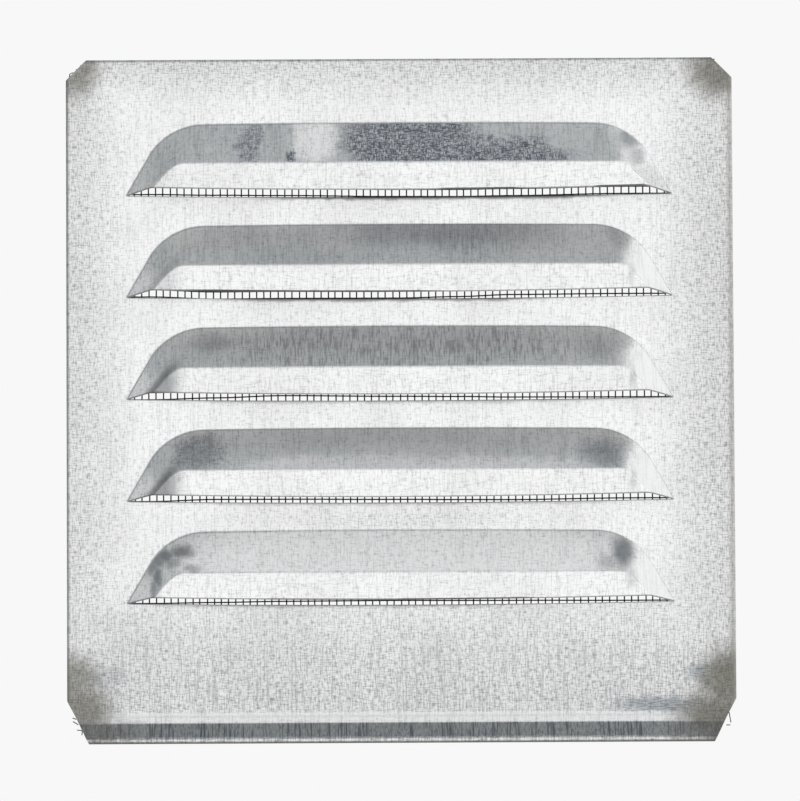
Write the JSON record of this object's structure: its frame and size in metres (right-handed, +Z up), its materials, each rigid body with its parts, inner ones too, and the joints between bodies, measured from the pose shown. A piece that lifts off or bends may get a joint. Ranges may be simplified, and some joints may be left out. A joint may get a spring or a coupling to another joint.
{
  "type": "ventilation grille",
  "caption": "Square galvanised wall grille: one pressed and hemmed sheet with outward louvre hoods and a drip lip, gripping a woven wire insect screen behind.",
  "frame": {"origin": "the middle of the top hem's back face, on the wall plane", "axes": "+X to the right seen from the front, +Y into the wall, +Z up; the louvres face -Y"},
  "size_m": [0.2, 0.0111, 0.205],
  "materials": {
    "galvanised_sheet": "pale galvanised steel with fine dark specks, streaks and grey, dulled corners",
    "screen_wire": "dulled dark steel wire, plain weave"
  },
  "bodies": {
    "root": {"grille_plate": "galvanised_sheet", "insect_screen": "screen_wire"}
  },
  "joints": []
}
